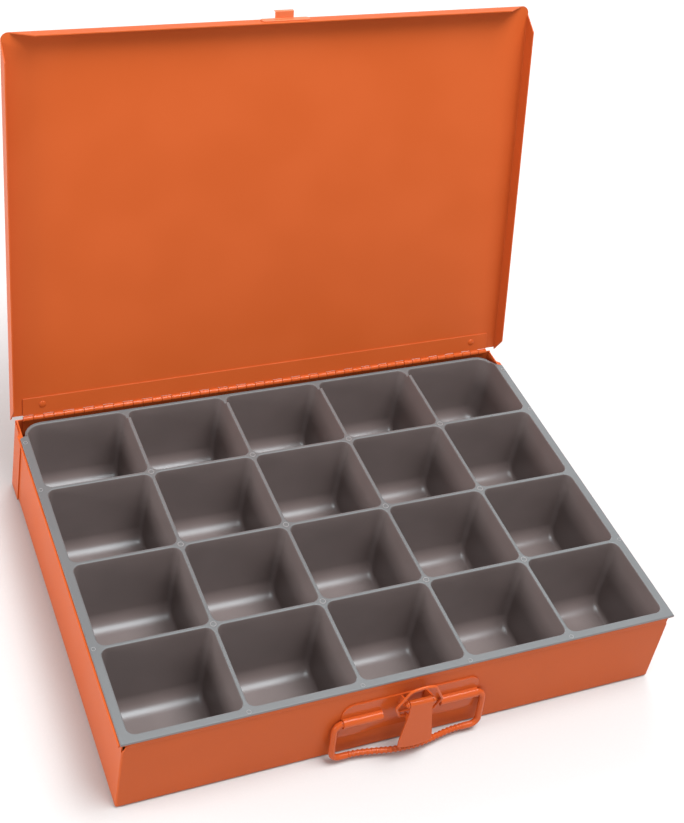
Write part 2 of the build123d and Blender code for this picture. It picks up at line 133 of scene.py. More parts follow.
def clouds(tree, place, scale, detail):
    """Noise between 0 and 1; scale is in patches to the metre."""
    node = add_node(
        tree, "ShaderNodeTexNoise", {"Vector": place, "Scale": scale, "Detail": detail},
    )
    return node.outputs["Fac"]


def split_xyz(tree, vector):
    return add_node(tree, "ShaderNodeSeparateXYZ", {"Vector": vector}).outputs


def worn_and_highlit_edge_group():
    """Where the finish thins along folds and cut edges, and a painted highlight along them: a
    mask, broken up by noise.
    """
    tree, start, end = new_group(
        "worn_and_highlit_edges", "ShaderNodeTree",
        [
            ("Place", "NodeSocketVector", None), ("Edge", "NodeSocketFloat", 0.0),
            ("Patch size", "NodeSocketFloat", 60.0), ("Amount", "NodeSocketFloat", 0.5),
        ],
        [("Mask", "NodeSocketFloat")],
    )
    patches = clouds(tree, start.outputs["Place"], start.outputs["Patch size"], 4.0)
    broken = ramp_between(tree, patches, 0.38, 0.66)
    worn_and_highlit = maths(tree, "MULTIPLY", start.outputs["Edge"], broken)
    mask = maths(tree, "MULTIPLY", worn_and_highlit, start.outputs["Amount"], clamp=True)
    tree.links.new(mask, end.inputs["Mask"])
    return tree


speck_size = 900.0


def settled_dust_group():
    """Fine dust on what faces up: a mask in soft clouds with finer specks."""
    tree, start, end = new_group(
        "settled_dust", "ShaderNodeTree",
        [
            ("Place", "NodeSocketVector", None), ("Facing", "NodeSocketVector", None),
            ("Cloud size", "NodeSocketFloat", 14.0), ("Amount", "NodeSocketFloat", 0.2),
        ],
        [("Mask", "NodeSocketFloat")],
    )
    upward = ramp_between(tree, split_xyz(tree, start.outputs["Facing"])["Z"], 0.3, 1.0)
    drifts = clouds(tree, start.outputs["Place"], start.outputs["Cloud size"], 5.0)
    specks = clouds(tree, start.outputs["Place"], speck_size, 2.0)
    drift = ramp_between(tree, drifts, 0.35, 0.75)
    speck = ramp_between(tree, specks, 0.4, 0.8, 0.5, 1.0)
    mask = maths(tree, "MULTIPLY", maths(tree, "MULTIPLY", drift, speck), upward)
    mask = maths(tree, "MULTIPLY", mask, start.outputs["Amount"], clamp=True)
    tree.links.new(mask, end.inputs["Mask"])
    return tree


def surface_grain_group():
    """Orange peel of sprayed enamel, or the fine spark texture of a mould, as a height,
    and the long waves in it, which shift the shade and the gloss a little."""
    tree, start, end = new_group(
        "surface_grain", "ShaderNodeTree",
        [
            ("Place", "NodeSocketVector", None), ("Grain size", "NodeSocketFloat", 600.0),
            ("Waviness size", "NodeSocketFloat", 30.0), ("Waviness", "NodeSocketFloat", 0.3),
        ],
        [("Height", "NodeSocketFloat"), ("Waves", "NodeSocketFloat")],
    )
    grain = clouds(tree, start.outputs["Place"], start.outputs["Grain size"], 3.0)
    waves = clouds(tree, start.outputs["Place"], start.outputs["Waviness size"], 1.0)
    height = maths(tree, "ADD", grain, maths(tree, "MULTIPLY", waves, start.outputs["Waviness"]))
    tree.links.new(height, end.inputs["Height"])
    tree.links.new(waves, end.inputs["Waves"])
    return tree


worn_and_highlit_edges = worn_and_highlit_edge_group()
settled_dust = settled_dust_group()
surface_grain = surface_grain_group()


def place_group(tree, group, values):
    node = tree.nodes.new("ShaderNodeGroup")
    node.node_tree = group
    return feed(tree, node, values)


# A Mix node has a set of sockets for each kind of data. These are the ones for colours.
mix_factor, mix_first, mix_second, mix_result = 0, 6, 7, 2


def opaque(colour):
    return (*colour, 1.0)


def mix_colour(tree, factor, first, second):
    """The first colour where factor is 0 and the second where it is 1."""
    values = {mix_factor: factor}
    for key, colour in ((mix_first, first), (mix_second, second)):
        values[key] = colour if isinstance(colour, bpy.types.NodeSocket) else opaque(colour)
    return add_node(tree, "ShaderNodeMix", values, data_type="RGBA").outputs[mix_result]


def new_material(name):
    material = bpy.data.materials.new(name)
    material.use_nodes = True
    tree = material.node_tree
    tree.nodes.clear()
    surface = tree.nodes.new("ShaderNodeBsdfPrincipled")
    result = tree.nodes.new("ShaderNodeOutputMaterial")
    tree.links.new(surface.outputs["BSDF"], result.inputs["Surface"])
    place = tree.nodes.new("ShaderNodeTexCoord")
    return material, tree, surface, place


# Paler colour on folds and edges: worn enamel, and also a painted highlight along them.
worn_and_highlit_edge = (0.80, 0.32, 0.15)
warm_dust = (0.62, 0.5, 0.42)
grey_dust = (0.42, 0.41, 0.40)
# The cells' warm brown tint is painted orange bounce light from the lid on grey plastic; the two
# tones differ at random.
cell_dark = (0.186, 0.149, 0.143)
cell_light = (0.205, 0.164, 0.158)
# The heights between which the insert's plastic turns from the cells' painted warm bounce tint to
# the rims' colour.
rim_from, rim_to = 66.5 * mm, 68.5 * mm


def enamel(name, colour, shade, roughness, gloss, dust_amount, wear_and_highlight_amount):
    """Sprayed and baked enamel on sheet steel: two close shades, orange peel, thin edges painted
    paler, partly as wear and partly as a painted highlight.
    """
    material, tree, surface, place = new_material(name)
    grain = place_group(tree, surface_grain, {
        "Place": place.outputs["Object"],
        "Grain size": 750.0, "Waviness size": 16.0, "Waviness": 0.8,
    })
    edge = add_node(tree, "ShaderNodeAttribute", attribute_name="edge")
    wear_and_highlight = place_group(tree, worn_and_highlit_edges, {
        "Place": place.outputs["Object"], "Edge": edge.outputs["Fac"],
        "Patch size": 55.0, "Amount": wear_and_highlight_amount,
    })
    dust = place_group(tree, settled_dust, {
        "Place": place.outputs["Object"], "Facing": place.outputs["Normal"],
        "Cloud size": 18.0, "Amount": dust_amount,
    })
    flow = ramp_between(tree, grain.outputs["Waves"], 0.3, 0.7)
    base = mix_colour(tree, flow, shade, colour)
    # Worn edges, which also carry a painted highlight along the folds.
    base = mix_colour(tree, wear_and_highlight.outputs["Mask"], base, worn_and_highlit_edge)
    base = mix_colour(tree, dust.outputs["Mask"], base, warm_dust)
    rough = ramp_between(
        tree, grain.outputs["Waves"], 0.25, 0.75, roughness - 0.04, roughness + 0.05,
    )
    dulled = maths(tree, "MULTIPLY", dust.outputs["Mask"], 0.4)
    bump = add_node(
        tree, "ShaderNodeBump",
        {"Strength": 0.09, "Distance": 0.4 * mm, "Height": grain.outputs["Height"]},
    )
    feed(tree, surface, {
        "Base Color": base, "Roughness": maths(tree, "ADD", rough, dulled, clamp=True),
        "Specular IOR Level": gloss, "Normal": bump.outputs["Normal"],
    })
    return material


def moulded_plastic(name, rim_colour):
    """Grey high-impact plastic: a warm brown tint in the cells as painted orange bounce light,
    and the rim colour on the upward-facing rims.
    """
    material, tree, surface, place = new_material(name)
    grain = place_group(tree, surface_grain, {
        "Place": place.outputs["Object"],
        "Grain size": 1500.0, "Waviness size": 26.0, "Waviness": 0.25,
    })
    dust = place_group(tree, settled_dust, {
        "Place": place.outputs["Object"], "Facing": place.outputs["Normal"],
        "Cloud size": 26.0, "Amount": 0.04,
    })
    height = ramp_between(tree, split_xyz(tree, place.outputs["Object"])["Z"], rim_from, rim_to)
    upward = ramp_between(tree, split_xyz(tree, place.outputs["Normal"])["Z"], 0.25, 0.9)
    rim = maths(tree, "MULTIPLY", height, upward)
    flow = ramp_between(tree, grain.outputs["Waves"], 0.3, 0.7)
    # Warm cell tint: painted orange bounce light.
    body = mix_colour(tree, flow, cell_dark, cell_light)
    base = mix_colour(tree, rim, body, rim_colour)
    base = mix_colour(tree, dust.outputs["Mask"], base, grey_dust)
    rough = ramp_between(tree, grain.outputs["Waves"], 0.25, 0.75, 0.30, 0.35)
    dulled = maths(tree, "MULTIPLY", rim, 0.16)
    bump = add_node(
        tree, "ShaderNodeBump",
        {"Strength": 0.14, "Distance": 0.25 * mm, "Height": grain.outputs["Height"]},
    )
    feed(tree, surface, {
        "Base Color": base, "Roughness": maths(tree, "ADD", rough, dulled, clamp=True),
        "Specular IOR Level": 0.6, "Specular Tint": opaque((0.84, 0.95, 1.0)),
        "Normal": bump.outputs["Normal"],
    })
    return material


def backdrop_paper(name):
    material, tree, surface, place = new_material(name)
    fibres = clouds(tree, place.outputs["Object"], 700.0, 3.0)
    feed(tree, surface, {
        "Base Color": mix_colour(tree, fibres, (0.62, 0.62, 0.62), (0.65, 0.65, 0.65)),
        "Roughness": 0.9, "Specular IOR Level": 0.1,
    })
    return material


case_enamel = enamel(
    "case_enamel", colour=(0.580, 0.108, 0.025), shade=(0.555, 0.101, 0.022),
    roughness=0.33, gloss=0.09, dust_amount=0.03, wear_and_highlight_amount=0.3,
)
fitting_enamel = enamel(
    "fitting_enamel", colour=(0.580, 0.100, 0.020), shade=(0.555, 0.093, 0.017),
    roughness=0.12, gloss=0.22, dust_amount=0.02, wear_and_highlight_amount=0.3,
)
# Paler enamel on the strike hook: a painted highlight, with full edge wear on top.
highlit_worn_enamel = enamel(
    "highlit_worn_enamel", colour=(0.66, 0.165, 0.06), shade=(0.62, 0.13, 0.04),
    roughness=0.33, gloss=0.4, dust_amount=0.03, wear_and_highlight_amount=1.0,
)
insert_plastic = moulded_plastic("insert_plastic", rim_colour=(0.143, 0.149, 0.153))
# The ring marks' pale rim colour is a painted highlight on the raised rings.
highlit_ring_plastic = moulded_plastic("highlit_ring_plastic", rim_colour=(0.30, 0.305, 0.31))
paper = backdrop_paper("backdrop_paper")


# ======================================================================
# Helpers that make pieces
# ======================================================================
def object_from(name, mesh, material):
    piece = bpy.data.objects.new(name, mesh)
    bpy.context.scene.collection.objects.link(piece)
    mesh.materials.clear()
    mesh.materials.append(material)
    return piece


def finish_piece(piece, body, slot, *nodes):
    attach(piece, body)
    if nodes:
        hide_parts(*nodes)


def smooth_shade(mesh, angle):
    mesh.shade_smooth()
    mesh.set_sharp_from_angle(angle=angle)


# Two faces that meet at more than this have an edge between them that gets rounded.
sharp_from = radians(32)
# Triangles that lie this flat to each other become one face before that.
flat_within = radians(0.4)
merge_within = 2e-6
# Past these angles the shading breaks: on a leaf, on a sheet, and on wire and mouldings.
leaf_crease, sheet_crease, round_crease = radians(30), radians(40), radians(50)
round_sides = 20


def mark_edges(bm, strips):
    """Writes 1 on the corners of the faces in strips and 0 elsewhere, for the edge mask of wear
    and painted highlight.
    """
    layer = bm.loops.layers.float.new("edge")
    for face in bm.faces:
        value = 1.0 if face in strips else 0.0
        for loop in face.loops:
            loop[layer] = value


def soften_edges(bm, width, segments=2):
    """Rounds the sharp edges and marks the rounded strips."""
    sharp = [
        e for e in bm.edges if len(e.link_faces) == 2 and e.calc_face_angle(0.0) > sharp_from
    ]
    made = bmesh.ops.bevel(
        bm, geom=sharp, offset=width, offset_type="OFFSET", segments=segments,
        profile=0.5, affect="EDGES", clamp_overlap=True, loop_slide=True,
    )
    mark_edges(bm, set(made["faces"]))


def sheet_piece(node, name, material, edge_width, cut_bays):
    """A merged copy of a CAD node with its cut and folded edges rounded."""
    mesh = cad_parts[node].data.copy()
    mesh.name = name
    bm = bmesh.new()
    bm.from_mesh(mesh)
    bmesh.ops.remove_doubles(bm, verts=bm.verts, dist=merge_within)
    bmesh.ops.dissolve_limit(
        bm, angle_limit=flat_within, verts=bm.verts, edges=bm.edges,
        use_dissolve_boundaries=False,
    )
    if cut_bays:
        # A face with a bay or hole in it would fold over itself once its edges move.
        cut = [f for f in bm.faces if len(f.verts) > 4]
        bmesh.ops.triangulate(bm, faces=cut, ngon_method="EAR_CLIP")
    soften_edges(bm, edge_width)
    bm.to_mesh(mesh)
    bm.free()
    smooth_shade(mesh, sheet_crease)
    piece = object_from(name, mesh, material)
    weighted = piece.modifiers.new("flat faces stay flat", "WEIGHTED_NORMAL")
    weighted.keep_sharp = True
    return piece


bend_steps = 7


def bent_path(points, bends):
    """Points along straight runs, with a bend of its own radius at each inner point."""
    path = [points[0]]
    for before, at, after, bend in zip(points, points[1:], points[2:], bends):
        back, ahead = (before - at).normalized(), (after - at).normalized()
        turn = pi - back.angle(ahead)
        reach = bend * tan(turn / 2)
        centre = at + (back + ahead).normalized() * (bend / cos(turn / 2))
        first, last = at + back * reach - centre, at + ahead * reach - centre
        for step in range(bend_steps + 1):
            share = step / bend_steps
            spoke = first * sin((1 - share) * turn) + last * sin(share * turn)
            path.append(centre + spoke / sin(turn))
    path.append(points[-1])
    return path


def wire_piece(name, path, radii, material, sides=round_sides):
    """Round wire along a path, with a radius for each of its points."""
    mesh = bpy.data.meshes.new(name)
    bm = bmesh.new()
    rings = []
    side = Vector((1.0, 0.0, 0.0))
    for k, (point, radius) in enumerate(zip(path, radii)):
        ahead = (path[min(k + 1, len(path) - 1)] - path[max(k - 1, 0)]).normalized()
        if k == 0:
            side = ahead.orthogonal().normalized()
        side = (side - ahead * side.dot(ahead)).normalized()
        other = ahead.cross(side)
        turns = [2 * pi * s / sides for s in range(sides)]
        rings.append([
            bm.verts.new(point + (side * cos(turn) + other * sin(turn)) * radius)
            for turn in turns
        ])
    for first, second in zip(rings, rings[1:]):
        for s in range(sides):
            t = (s + 1) % sides
            bm.faces.new((first[s], first[t], second[t], second[s]))
    bm.faces.new(list(reversed(rings[0])))
    bm.faces.new(rings[-1])
    bmesh.ops.recalc_face_normals(bm, faces=bm.faces)
    mark_edges(bm, set())
    bm.to_mesh(mesh)
    bm.free()
    smooth_shade(mesh, round_crease)
    return object_from(name, mesh, material)


def points_mesh(name, points, edges=()):
    mesh = bpy.data.meshes.new(name)
    mesh.from_pydata([tuple(p) for p in points], list(edges), [])
    return mesh


def grown_piece(name, seed_mesh, tree, inputs, material):
    """Runs a Geometry Nodes tree on a seed mesh and keeps its result as a plain mesh."""
    holder = bpy.data.objects.new(name + "_seed", seed_mesh)
    bpy.context.scene.collection.objects.link(holder)
    modifier = holder.modifiers.new("grow", "NODES")
    modifier.node_group = tree
    sockets = {
        item.name: item.identifier
        for item in tree.interface.items_tree
        if item.item_type == "SOCKET" and item.in_out == "INPUT"
    }
    for key, value in dict(inputs, Finish=material).items():
        modifier[sockets[key]] = value
    holder.update_tag()
    bpy.context.view_layer.update()
    evaluated = holder.evaluated_get(bpy.context.evaluated_depsgraph_get())
    mesh = bpy.data.meshes.new_from_object(evaluated)
    mesh.name = name
    bpy.data.objects.remove(holder)
    smooth_shade(mesh, sheet_crease)
    return object_from(name, mesh, material)


def growth_tree(name, sizes):
    """A tree that takes the seed's geometry, the finish and its own named sizes."""
    tree, start, end = new_group(
        name, "GeometryNodeTree",
        [("Geometry", "NodeSocketGeometry", None), ("Finish", "NodeSocketMaterial", None)]
        + [
            (label, "NodeSocketInt" if isinstance(value, int) else "NodeSocketFloat", value)
            for label, value in sizes.items()
        ],
        [("Geometry", "NodeSocketGeometry")],
    )
    tree.is_modifier = True
    return tree, start, end


def circle(tree, radius, sides):
    node = add_node(
        tree, "GeometryNodeCurvePrimitiveCircle", {"Resolution": sides, "Radius": radius},
    )
    return node.outputs["Curve"]


def rounded_bar(tree, width, height, corner):
    bar = add_node(
        tree, "GeometryNodeCurvePrimitiveQuadrilateral", {"Width": width, "Height": height},
    )
    rounded = add_node(
        tree, "GeometryNodeFilletCurve", {"Curve": bar.outputs["Curve"], "Radius": corner},
    )
    return rounded.outputs["Curve"]


def swept(tree, path, section):
    node = add_node(tree, "GeometryNodeCurveToMesh", {"Curve": path, "Profile Curve": section})
    return node.outputs["Mesh"]


def seed_points(tree, start):
    node = add_node(tree, "GeometryNodeMeshToPoints", {"Mesh": start.outputs["Geometry"]})
    return node.outputs["Points"]


def repeat_at(tree, start, end, shape, points, **placing):
    """Puts the shape at every point, then ends the tree: real geometry with its finish."""
    placed = add_node(
        tree, "GeometryNodeInstanceOnPoints", {"Points": points, "Instance": shape, **placing},
    )
    whole = add_node(tree, "GeometryNodeRealizeInstances", {0: placed.outputs["Instances"]})
    finish = add_node(
        tree, "GeometryNodeSetMaterial",
        {"Geometry": whole.outputs[0], "Material": start.outputs["Finish"]},
    )
    tree.links.new(finish.outputs[0], end.inputs["Geometry"])


# ======================================================================
# Compartment insert
# ======================================================================
columns = 5
cell_width = 81.6 * mm
column_pitch = 84.6 * mm
row_ends = [
    (front * mm, back * mm)
    for front, back in ((-153.2, -80.875), (-77.875, -2.95), (0.05, 74.975), (77.975, 150.3))
]
half_divider = 1.5 * mm
insert_top = 72.0 * mm
back_drop = 3.0 * mm
step_at = 140.8 * mm
step_ramp = 0.7 * mm
cell_floor = 4.0 * mm
cell_corner = 6.0 * mm
end_corner = 13.0 * mm
least_corner = 0.6 * mm
lip_round = 0.85 * mm
lip_steps = 4
# A ring of points this far from a rounding keeps the flat beside it flat.
hold = 0.15 * mm
wall_draft = tan(radians(2.0))
corner_draft = 0.6
wall_depths = (5.2 * mm, 14.0 * mm, 30.0 * mm, 44.0 * mm)
# The last row's side walls have their points here, so that their tops follow the step down.
step_stations = (100.0 * mm, 120.0 * mm, 136.0 * mm, 140.1 * mm, 141.5 * mm)
scoop_round = 12.0 * mm
scoop_steps = 10
side_round = 3.5 * mm
flange_half = 216.8 * mm
flange_front = -159.4 * mm
flange_taper_at = 136.0 * mm
body_half = 212.0 * mm
body_front = -155.2 * mm
body_back = 153.3 * mm
body_corner = 15.0 * mm
flange_thickness = 2.0 * mm
flange_round = 0.7 * mm
under_round = 0.3 * mm
body_floor = 2.0 * mm
foot_round = 1.2 * mm
body_lean = 0.9 * mm
front_corner_cut = 2.3 * mm
corner_steps = 6
thirds = (1 / 3, 2 / 3)
quarter = pi / 2
# Places closer together than these count as one.
near = 1e-6
touching = 1e-7


def top_height(y):
    """The insert's top: flat, then a small step down in front of the hinge."""
    share = min(max((y - step_at + step_ramp) / (2 * step_ramp), 0.0), 1.0)
    return insert_top - back_drop * share


def cell_ring(x0, x1, y0, y1, radii, shrink_x, shrink_y, ease, side_shares):
    """A closed ring of points round a cell, the same count and order at every depth.

    radii are the corner radii (front left, front right, back right, back left), and ease
    is what they lose. side_shares are the points on each left and right wall.
    """
    left, right = x0 + shrink_x, x1 - shrink_x
    front, back = y0 + shrink_y, y1 - shrink_y
    rounds = [max(r - ease, least_corner) for r in radii]
    centres = [
        (left + rounds[0], front + rounds[0]), (right - rounds[1], front + rounds[1]),
        (right - rounds[2], back - rounds[2]), (left + rounds[3], back - rounds[3]),
    ]
    ring = []
    wall_shares = (thirds, side_shares, thirds, tuple(1 - s for s in reversed(side_shares)))
    for corner in range(4):
        cx, cy = centres[corner]
        start = pi + corner * quarter
        for step in range(corner_steps + 1):
            turn = start + step * quarter / corner_steps
            ring.append((cx + rounds[corner] * cos(turn), cy + rounds[corner] * sin(turn)))
        ax, ay = ring[-1]
        nx, ny = centres[(corner + 1) % 4]
        ex, ey = ((nx, front), (right, ny), (nx, back), (left, ny))[corner]
        for share in wall_shares[corner]:
            ring.append((ax + (ex - ax) * share, ay + (ey - ay) * share))
    return ring


def wall_counts(side_shares):
    """How many points lie on each wall of a cell's ring, between its corners."""
    return (len(thirds), len(side_shares), len(thirds), len(side_shares))


def tile_ring(ring, x0, x1, y0, y1, wide, side_shares):
    """The ring's points pushed out to the middle of the dividers round the cell.

    wide holds the corners that lie on the insert's own wide back corners.
    """
    left, right = x0 - half_divider, x1 + half_divider
    front, back = y0 - half_divider, y1 + half_divider
    corners = [(left, front), (right, front), (right, back), (left, back)]
    runs = wall_counts(side_shares)
    pushed = []
    index = 0
    for corner in range(4):
        kx, ky = corners[corner]
        entry, leave = ring[index], ring[index + corner_steps]
        if corner in (0, 2):
            entry_edge, leave_edge = (kx, entry[1]), (leave[0], ky)
        else:
            entry_edge, leave_edge = (entry[0], ky), (kx, leave[1])
        half = corner_steps // 2
        for step in range(corner_steps + 1):
            if corner in wide:
                turn = pi + corner * quarter + step * quarter / corner_steps
                radius = end_corner + half_divider
                cx = kx + radius if corner == 3 else kx - radius
                cy = ky - radius
                pushed.append((cx + radius * cos(turn), cy + radius * sin(turn)))
            elif step <= half:
                share = step / half
                pushed.append((
                    entry_edge[0] + (kx - entry_edge[0]) * share,
                    entry_edge[1] + (ky - entry_edge[1]) * share,
                ))
            else:
                share = (step - half) / half
                pushed.append((
                    kx + (leave_edge[0] - kx) * share, ky + (leave_edge[1] - ky) * share,
                ))
        index += corner_steps + 1
        for _ in range(runs[corner]):
            px, py = ring[index]
            pushed.append([(px, front), (right, py), (px, back), (left, py)][corner])
            index += 1
    return pushed


def outer_course(x, y, corner):
    """From a point on the outer edge of the cells: out over the flange, round its edge,
    back under it and down the body, as a list of places.

    corner says that the point lies on one of the wide back corners.
    """
    top = top_height(y)
    side = 1.0 if x > 0 else -1.0
    grid_front = row_ends[0][0] - half_divider
    grid_back = row_ends[-1][1] + half_divider
    grid_side = (columns - 1) / 2 * column_pitch + cell_width / 2 + half_divider
    on_front = y < grid_front + near
    on_back = y > grid_back - near
    on_side = abs(x) > grid_side - near
    if corner:
        centre = Vector((side * (body_half - body_corner), body_back - body_corner))
        out = (Vector((x, y)) - centre).normalized()
        edge = centre + out * body_corner
        body = edge.copy()
    elif on_front and on_side:
        out = Vector((side, -1.0))
        edge = Vector((side * flange_half, flange_front))
        body = Vector((side * (body_half - front_corner_cut), body_front + front_corner_cut))
    elif on_front:
        out = Vector((0.0, -1.0))
        edge = Vector((x, flange_front))
        body = Vector((x, body_front))
    elif on_back:
        out = Vector((0.0, 1.0))
        edge = Vector((x, body_back))
        body = edge.copy()
    else:
        out = Vector((side, 0.0))
        reach = flange_half - min(max(y - flange_taper_at, 0.0), flange_half - body_half)
        edge = Vector((side * reach, y))
        body = Vector((side * body_half, y))
    under = top - flange_thickness

    def at(place, inset, height):
        spot = place - out * inset
        return Vector((spot.x, spot.y, height))

    has_flange = (body - edge).length > near
    return [
        at(edge, flange_round + hold, top),
        at(edge, flange_round, top),
        at(edge, flange_round * 0.3, top - flange_round * 0.3),
        at(edge, 0.0, top - flange_round),
        at(edge, 0.0, under + under_round),
        at(edge, 0.25 * mm, under),
        at(body, -0.1 * mm if has_flange else 0.25 * mm, under),
        at(body, 0.1 * mm, under - under_round),
        at(body, body_lean, body_floor + foot_round),
        at(body, body_lean + foot_round * 0.25, body_floor + 0.35 * mm),
        at(body, body_lean + foot_round, body_floor),
    ]


def build_insert():
    bm = bmesh.new()

    def ring_verts(ring, height_at):
        return [bm.verts.new((x, y, height_at(y))) for x, y in ring]

    last_row = len(row_ends) - 1
    for row, (y0, y1) in enumerate(row_ends):
        for column in range(columns):
            x0 = (column - (columns - 1) / 2) * column_pitch - cell_width / 2
            x1 = x0 + cell_width
            radii = [cell_corner] * 4
            wide = set()
            if row == last_row and column == 0:
                radii[3] = end_corner
                wide.add(3)
            if row == last_row and column == columns - 1:
                radii[2] = end_corner
                wide.add(2)
            side_shares = thirds
            if row == last_row:
                start = y0 + cell_corner
                run = y1 - cell_corner - start
                side_shares = tuple((y - start) / run for y in step_stations)

            def ring_at(shrink_x, shrink_y, ease):
                return cell_ring(x0, x1, y0, y1, radii, shrink_x, shrink_y, ease, side_shares)

            tile = tile_ring(ring_at(0.0, 0.0, 0.0), x0, x1, y0, y1, wide, side_shares)
            tile_verts = ring_verts(tile, top_height)
            out = -lip_round - hold
            rings = [tile_verts, ring_verts(ring_at(out, out, out), top_height)]
            for step in range(lip_steps + 1):
                turn = step / lip_steps * quarter
                out = -lip_round * (1 - sin(turn))
                drop = lip_round * (1 - cos(turn))
                rings.append(ring_verts(ring_at(out, out, out), lambda y: top_height(y) - drop))
            for depth in wall_depths:
                lean = wall_draft * depth
                ring = ring_at(lean, lean, lean * corner_draft)
                rings.append(ring_verts(ring, lambda y: insert_top - depth))
            for step in range(scoop_steps + 1):
                turn = step / scoop_steps * quarter
                height = scoop_round * (1 - sin(turn))
                lean = wall_draft * (insert_top - cell_floor - height)
                in_y = scoop_round * (1 - cos(turn))
                below = max(side_round - height, 0.0)
                in_x = side_round - sqrt(max(side_round**2 - below**2, 0.0))
                ring = ring_at(lean + in_x, lean + in_y, lean * corner_draft)
                rings.append(ring_verts(ring, lambda y: cell_floor + height))
            count = len(tile)
            for first, second in zip(rings, rings[1:]):
                for k in range(count):
                    j = (k + 1) % count
                    bm.faces.new((first[k], second[k], second[j], first[j]))
            bm.faces.new(rings[-1])

            # The frame round the cells, wherever this cell lies on the outside.
            outside = {
                "front": row == 0, "back": row == last_row,
                "left": column == 0, "right": column == columns - 1,
            }
            left, right = x0 - half_divider, x1 + half_divider
            front, back = y0 - half_divider, y1 + half_divider
            in_wide = set()
            spot = 0
            for corner, wall_count in enumerate(wall_counts(side_shares)):
                if corner in wide:
                    in_wide |= set(range(spot, spot + corner_steps + 1))
                spot += corner_steps + 1 + wall_count

            def lies(k, name):
                px, py = tile[k]
                if k in in_wide:
                    return outside[name] and name != "front"
                return outside[name] and {
                    "front": abs(py - front), "back": abs(py - back),
                    "left": abs(px - left), "right": abs(px - right),
                }[name] < touching

            for k in range(count):
                j = (k + 1) % count
                if not any(lies(k, n) and lies(j, n) for n in outside):
                    continue
                first, second = (
                    [tile_verts[i]]
                    + [bm.verts.new(p) for p in outer_course(*tile[i], i in in_wide)]
                    for i in (k, j)
                )
                for a in range(len(first) - 1):
                    bm.faces.new((first[a], second[a], second[a + 1], first[a + 1]))
    bmesh.ops.remove_doubles(bm, verts=bm.verts, dist=near / 2)
    open_edges = [e for e in bm.edges if len(e.link_faces) == 1]
    bmesh.ops.holes_fill(bm, edges=open_edges, sides=0)
    bmesh.ops.recalc_face_normals(bm, faces=bm.faces)
    mark_edges(bm, set())
    mesh = bpy.data.meshes.new("insert_tray")
    bm.to_mesh(mesh)
    bm.free()
    smooth_shade(mesh, round_crease)
    return object_from("insert_tray", mesh, insert_plastic)


finish_piece(build_insert(), "insert", "grey_plastic", "compartment_insert")


def ring_mark_tree():
    """A low raised ring, as an ejector pin leaves, at every seed point."""
    tree, start, end = growth_tree(
        "ejector_rings", {"Ring radius": 1.7 * mm, "Ring height": 0.16 * mm},
    )
    ring = swept(
        tree, circle(tree, start.outputs["Ring radius"], round_sides),
        circle(tree, start.outputs["Ring height"], 8),
    )
    repeat_at(tree, start, end, ring, seed_points(tree, start))
    return tree


ejector_rings = ring_mark_tree()
crossing_xs = [(column - 1.5) * column_pitch for column in range(4)]
crossing_ys = [y * mm for y in (-79.4, -1.45, 76.5)]
rim_side, rim_ys = 214.2 * mm, [y * mm for y in (-79.4, 76.5, 129.0)]
rim_front = -156.9 * mm
crossings = [(x, y, insert_top) for x in crossing_xs for y in crossing_ys]
rim_marks = [(x, y, insert_top) for x in (-rim_side, rim_side) for y in rim_ys]
rim_marks += [(x, rim_front, insert_top) for x in crossing_xs]
for name, marks, radius, height in (
    ("crossing_rings", crossings, 2.1 * mm, 0.34 * mm),
    ("rim_rings", rim_marks, 1.5 * mm, 0.24 * mm),
):
    rings = grown_piece(
        name, points_mesh(name + "_points", marks), ejector_rings,
        {"Ring radius": radius, "Ring height": height}, highlit_ring_plastic,
    )
    finish_piece(rings, "insert", "grey_plastic")


# ======================================================================
# Folded sheet pieces
# ======================================================================
for node, name, body, material, edge_width, cut_bays in (
    ("base_pan", "base_shell", "base", case_enamel, 0.22 * mm, False),
    ("back_panel", "back_wrap", "base", case_enamel, 0.2 * mm, False),
    ("lid_pan", "lid_shell", "lid", case_enamel, 0.2 * mm, False),
    # The strike hook takes the paler enamel that holds its painted highlight.
    ("lid_strike", "strike_hook", "lid", highlit_worn_enamel, 0.2 * mm, False),
    ("latch_plate", "latch_base", "base", fitting_enamel, 0.22 * mm, False),
    ("latch_lever", "lever_flap", "lever", fitting_enamel, 0.2 * mm, True),
    ("lever_pin", "lever_rod", "base", fitting_enamel, 0.15 * mm, False),
):
    sheet = sheet_piece(node, name, material, edge_width, cut_bays)
    finish_piece(sheet, body, "painted_steel", node)


# ======================================================================
# Piano hinge
# ======================================================================
def knuckle_tree():
    """Rolled knuckles at the seed points: a tube section turned round the pin."""
    tree, start, end = growth_tree("rolled_knuckles", {
        "Outer radius": 2.0 * mm, "Bore radius": 1.0 * mm,
        "Length": 8.0 * mm, "Edge round": 0.2 * mm,
    })
    outer, bore = start.outputs["Outer radius"], start.outputs["Bore radius"]
    middle = maths(tree, "MULTIPLY", maths(tree, "ADD", outer, bore), 0.5)
    wall = maths(tree, "SUBTRACT", outer, bore)
    section = rounded_bar(tree, wall, start.outputs["Length"], start.outputs["Edge round"])
    tube = swept(tree, circle(tree, middle, round_sides), section)
    along_x = (0.0, pi / 2, 0.0)
    repeat_at(tree, start, end, tube, seed_points(tree, start), Rotation=along_x)
    return tree


rolled_knuckles = knuckle_tree()


